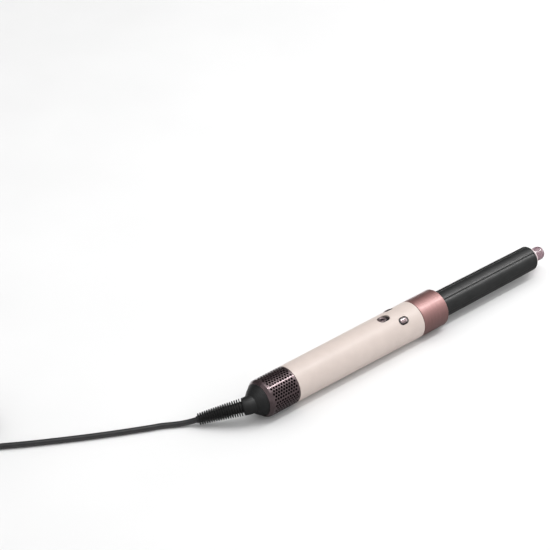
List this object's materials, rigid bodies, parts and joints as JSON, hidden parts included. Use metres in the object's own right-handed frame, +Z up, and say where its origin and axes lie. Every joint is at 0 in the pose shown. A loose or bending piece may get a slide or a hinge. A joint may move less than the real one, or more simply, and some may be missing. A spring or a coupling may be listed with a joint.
{
  "type": "automatic hair curler",
  "caption": "Cylindrical air-blowing hair curler: motor handle with intake filter, controls and mains cord, and a pull-off slotted barrel with a turning tip.",
  "frame": {"origin": "on the surface that the tool lies on, under the middle of the tool without its cord", "axes": "+X along the tool's axis towards the tip of the barrel, +Z up, +Y towards the side that the cord leads away to"},
  "size_m": [0.7156, 0.2812, 0.042],
  "materials": {
    "handle_shell": "satin",
    "inner_plastic": "matte",
    "cage": "gloss",
    "mesh": "woven",
    "black_rubber": "matte",
    "cord_jacket": "satin",
    "strap": "woven",
    "plated_metal": "polished",
    "wire_insulation": "matte",
    "motor_metal": "satin",
    "steel": "satin",
    "copper": "satin",
    "impeller_plastic": "satin",
    "circuit_board": "satin",
    "component": "matte",
    "mica": "matte",
    "heating_wire": "satin",
    "fuse_ceramic": "matte",
    "ribbon_film": "satin",
    "control_dark": "gloss",
    "control_gloss": "gloss",
    "seal_rubber": "matte",
    "barrel_plastic": "matte",
    "rose_gold": "satin",
    "barrel_metal": "satin",
    "tip_collar": "gloss",
    "tip_clear": "clear"
  },
  "bodies": {
    "handle": {"handle_shell": "handle_shell", "inner_frame": "inner_plastic", "filter_mesh": "mesh", "cord_cone": "black_rubber", "strain_relief": "black_rubber", "cord_run": "cord_jacket", "cord_coil": "cord_jacket", "cord_end": "cord_jacket", "cord_tie": "strap", "plug_body": "black_rubber", "plug_pins": "plated_metal", "mains_leads": "wire_insulation", "motor_shroud": "motor_metal", "motor_mounts": "black_rubber", "motor_can": "motor_metal", "stator_core": "steel", "stator_windings": "copper", "motor_bearings": "steel", "main_board": "circuit_board", "board_parts": "component", "heater_leads": "wire_insulation", "heater_former": "mica", "heater_wire": "heating_wire", "heater_sleeve": "mica", "thermal_fuse": "fuse_ceramic", "thermistor": "component", "control_board": "circuit_board", "control_switches": "component", "control_ribbon": "ribbon_film", "slider_bed": "control_dark", "release_spring": "steel", "latch_spring": "steel", "socket_seal": "seal_rubber"},
    "rotor": {"motor_shaft": "steel", "rotor_magnet": "steel", "impeller": "impeller_plastic"},
    "cage": {"filter_cage": "cage"},
    "power_slider": {"power_slider": "control_gloss"},
    "airflow_button": {"airflow_button": "control_gloss"},
    "temperature_button": {"temperature_button": "control_gloss"},
    "release_slider": {"release_slider": "control_gloss"},
    "barrel": {"barrel_neck": "barrel_plastic", "collar_ring": "rose_gold", "barrel_base": "barrel_plastic", "base_screws": "steel", "barrel_end_ring": "barrel_metal", "tip_seal": "black_rubber", "barrel_slat_1": "barrel_metal", "barrel_slat_2": "barrel_metal", "barrel_slat_3": "barrel_metal", "barrel_slat_4": "barrel_metal", "barrel_slat_5": "barrel_metal", "barrel_slat_6": "barrel_metal"},
    "tip": {"direction_tip": "tip_clear", "tip_collar": "tip_collar", "tip_spindle": "steel", "tip_clip": "steel", "diverter_sleeve": "inner_plastic"}
  },
  "joints": [
    {"name": "fan_spin", "type": "hinge", "parent": "handle", "child": "rotor", "pos_m": [-0.13955, 0, 0.021], "axis": [1, 0, 0], "continuous": true},
    {"name": "cage_slide", "type": "slide", "parent": "handle", "child": "cage", "axis": [-1, 0, 0], "range_m": [0, 0.022]},
    {"name": "power_slide", "type": "slide", "parent": "handle", "child": "power_slider", "axis": [1, 0, 0], "range_m": [0, 0.004]},
    {"name": "airflow_press", "type": "slide", "parent": "handle", "child": "airflow_button", "axis": [0, 0.6018, -0.7986], "range_m": [0, 0.0008], "stiffness_N_per_m": 900},
    {"name": "temperature_press", "type": "slide", "parent": "handle", "child": "temperature_button", "axis": [0, -0.6018, -0.7986], "range_m": [0, 0.0008], "stiffness_N_per_m": 900},
    {"name": "release_slide", "type": "slide", "parent": "handle", "child": "release_slider", "axis": [-1, 0, 0], "range_m": [0, 0.003], "stiffness_N_per_m": 250, "deforming": ["release_spring"]},
    {"name": "barrel_pull", "type": "slide", "parent": "handle", "child": "barrel", "axis": [1, 0, 0], "range_m": [0, 0.03], "deforming": ["latch_spring"]},
    {"name": "tip_turn", "type": "hinge", "parent": "barrel", "child": "tip", "pos_m": [0.19615, 0, 0.021], "axis": [1, 0, 0], "range_deg": [0, 60]}
  ]
}
